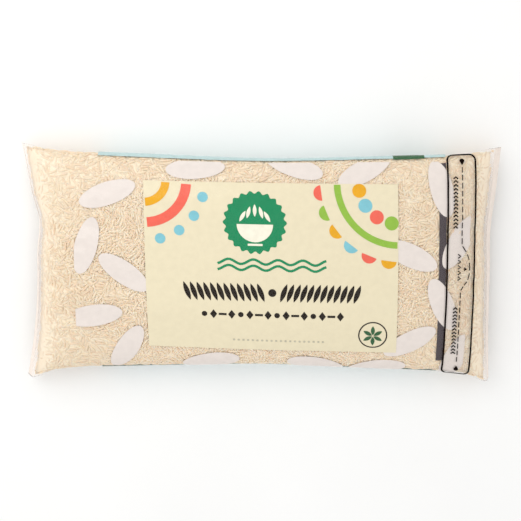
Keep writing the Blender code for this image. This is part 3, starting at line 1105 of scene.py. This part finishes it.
def lay_label():
    """The clear reseal label over the film, and the black marks printed on it."""
    width, length, corner = (size / MM for size in (LABEL_WIDTH, LABEL_LENGTH, LABEL_CORNER))
    flat, faces = cut_up([on_label(rounded_box(0, 0, width, length, corner))])
    clear = clear_film("Label_Clear_Film", LABEL_HAZE, LABEL_ROUGHNESS)
    level = -LABEL_LIFT - LABEL_SHEET
    label = laid("reseal_label_film", flat, faces, level, LABEL_SHEET, clear, "label_film")
    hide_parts("reseal_label")
    width, length = width - OUTLINE_STROKE, length - OUTLINE_STROKE
    ring = rounded_box(0, 0, width, length, corner - OUTLINE_STROKE / 2)
    marks = stroke(ring + ring[:2], OUTLINE_STROKE)[:-1] + tear_dashes()
    drop = [around(0, 0, DROP_RADIUS, bearing) for bearing in range(-20, 201, 20)] + [(0, -DROP_TAIL)]
    for place, side in DROPS:
        marks.append([(a + DROP_X, place - side * b) for a, b in drop])
    marks.append(POINTER)
    for a, low, high in CHEVRON_COLUMNS:
        for b in np.arange(low, high, CHEVRON_PITCH):
            bent = ((a - CHEVRON_REACH, b), (a, b + CHEVRON_RISE), (a + CHEVRON_REACH, b))
            marks += stroke(bent, CHEVRON_STROKE)
    back, tip = SIDE_X
    for b in SIDE_CHEVRONS:
        marks += stroke([(back, b + CHEVRON_RISE), (tip, b), (back, b - CHEVRON_RISE)], SIDE_STROKE)
    placed = [on_label(mark) for mark in marks]
    printed("reseal_label_marks", placed, -MARKS_LEVEL, ink("Ink_Black", BLACK, mottle=0.0), "label_film")


def film_piece():
    """The whole film tube with its ribbed end seals, in place of the bag's solid."""
    arcs = ring_arcs(TABLE_RING)
    shares = np.linspace(1, 0, SEAL_ROWS + 1)[:-1]
    rings = np.concatenate([seal(0, shares, arcs), FILM, seal(1, shares[::-1], arcs)])
    mesh = closed_rings("film", rings)
    # Frost rises towards the seals, and lies along the lap that joins the tube down its back
    inwards = distance_in(np.linspace(0, 1, TABLE_STEPS + 1))
    border = CLEAR_FROST + (BORDER_FROST - CLEAR_FROST) * np.exp(-((inwards / BORDER_REACH) ** 2))
    past = np.clip(shares / SEAL_RISE, 0, 1)
    welded = BORDER_FROST + (SEAL_FROST - BORDER_FROST) * past * past * (3 - 2 * past)
    frost = np.repeat(np.concatenate([welded, border, welded[::-1]])[:, None], TABLE_RING, axis=1)
    lap = GIRTH / 2 - np.abs(arcs) < LAP_HALF_WIDTH
    point_values(mesh, "frost", np.maximum(frost, LAP_FROST * lap).ravel())
    film = add_piece("film", mesh, clear_film("Clear_Film", None, FILM_ROUGHNESS))
    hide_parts("bag")


def core_piece():
    """What lies behind the modelled grains: the film's form drawn in by about two millimetres."""
    rings = FILM[CORE_ROWS:-CORE_ROWS:2, ::2]
    low, high = rings.min(axis=1, keepdims=True), rings.max(axis=1, keepdims=True)
    middle, half = (low + high) / 2, np.maximum((high - low) / 2, 1e-6)
    keep = 1 - np.minimum(CORE_DEPTH / half, CORE_LIMIT)
    keep[..., 0] = 1
    mesh = closed_rings("rice_core", middle + (rings - middle) * keep)
    # Painted light: the core is coloured lighter than the grains, to lift the shade seen between them
    lifted_core_look = mottled("Rice_Core", PAINTED_LIGHT_CORE_TONES, CORE_MOTTLE_SCALE, CORE_ROUGHNESS, detail=5.0)
    add_piece("rice_core", mesh, lifted_core_look)


def camera():
    """The photo's camera, from its target, distance and turns."""
    tilt, yaw, roll = (math.radians(turn) for turn in CAMERA_TURNS)
    back = Vector((math.sin(yaw), math.sin(tilt) * math.cos(yaw), math.cos(tilt) * math.cos(yaw)))
    right = Vector((0, 1, 0)).cross(back).normalized()
    up = back.cross(right)
    right, up = math.cos(roll) * right + math.sin(roll) * up, math.cos(roll) * up - math.sin(roll) * right
    data = bpy.data.cameras.new("Camera")
    data.sensor_width = SENSOR
    data.lens = LENS_PIXELS / PHOTO_SIDE * SENSOR
    made = new_object("Camera", data)
    place = Vector(CAMERA_TARGET) + CAMERA_DISTANCE * back
    facing = Matrix((right, up, back)).transposed().to_4x4()
    made.matrix_world = Matrix.Translation(place) @ facing
    bpy.context.scene.camera = made


def area_light(name, place, size, power, colour):
    """A square soft light that points at the middle of the bag."""
    data = bpy.data.lights.new(name, "AREA")
    data.size = size
    data.energy = power
    data.color = colour
    light = new_object(name, data)
    light.location = place
    light.rotation_euler = (Vector(LIT_PLACE) - Vector(place)).to_track_quat("-Z", "Y").to_euler()


def stage():
    """A plain pale floor, a white surround and soft lights from the upper left."""
    world = bpy.data.worlds.new("World")
    world.use_nodes = True
    background = world.node_tree.nodes["Background"].inputs
    background["Color"].default_value = (1, 1, 1, 1)
    background["Strength"].default_value = WORLD_STRENGTH
    bpy.context.scene.world = world
    bpy.context.scene.view_settings.view_transform = "Standard"
    for light in LIGHTS:
        area_light(*light)
    half = FLOOR_SIZE / 2
    corners = [(-half, -half, 0), (half, -half, 0), (half, half, 0), (-half, half, 0)]
    mesh = bpy.data.meshes.new("floor")
    mesh.from_pydata(corners, [], [(0, 1, 2, 3)])
    mesh.materials.append(mottled("Floor", FLOOR_TONES, FLOOR_MOTTLE_SCALE, FLOOR_ROUGHNESS, 0.0))
    floor = new_object("floor", mesh)
    floor.location.z = -FLOOR_GAP


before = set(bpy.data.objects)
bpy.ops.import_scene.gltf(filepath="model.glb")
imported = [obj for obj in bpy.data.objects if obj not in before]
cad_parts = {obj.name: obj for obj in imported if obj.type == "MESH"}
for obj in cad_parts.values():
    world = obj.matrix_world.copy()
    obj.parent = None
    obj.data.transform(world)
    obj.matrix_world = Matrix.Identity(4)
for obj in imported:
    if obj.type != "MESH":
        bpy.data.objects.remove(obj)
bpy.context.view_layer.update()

FILM = body(np.linspace(0, 1, TABLE_STEPS + 1), ring_arcs(TABLE_RING))
NORMALS = film_normals(FILM)
RUN = film_run(FILM)
RUN_MAX = RUN.max()
steps = np.linspace(0, RUN_MAX, TABLE_STEPS + 1)
places = np.linspace(0, 1, TABLE_STEPS + 1)
REACH = reach_table()
ALONG = np.stack([np.interp(steps, RUN[:, j], places) for j in range(TABLE_RING)], axis=1)[..., None]

camera()
stage()
film_piece()
core_piece()
rice = rice_material("Rice_Grains")
for layer, (depth, tone_range_with_painted_lift) in enumerate(GRAIN_LAYERS):
    rice_layer("rice_layer_" + "abc"[layer], layer, depth, rice, tone_range_with_painted_lift)
lay_front()
lay_back()
lay_label()
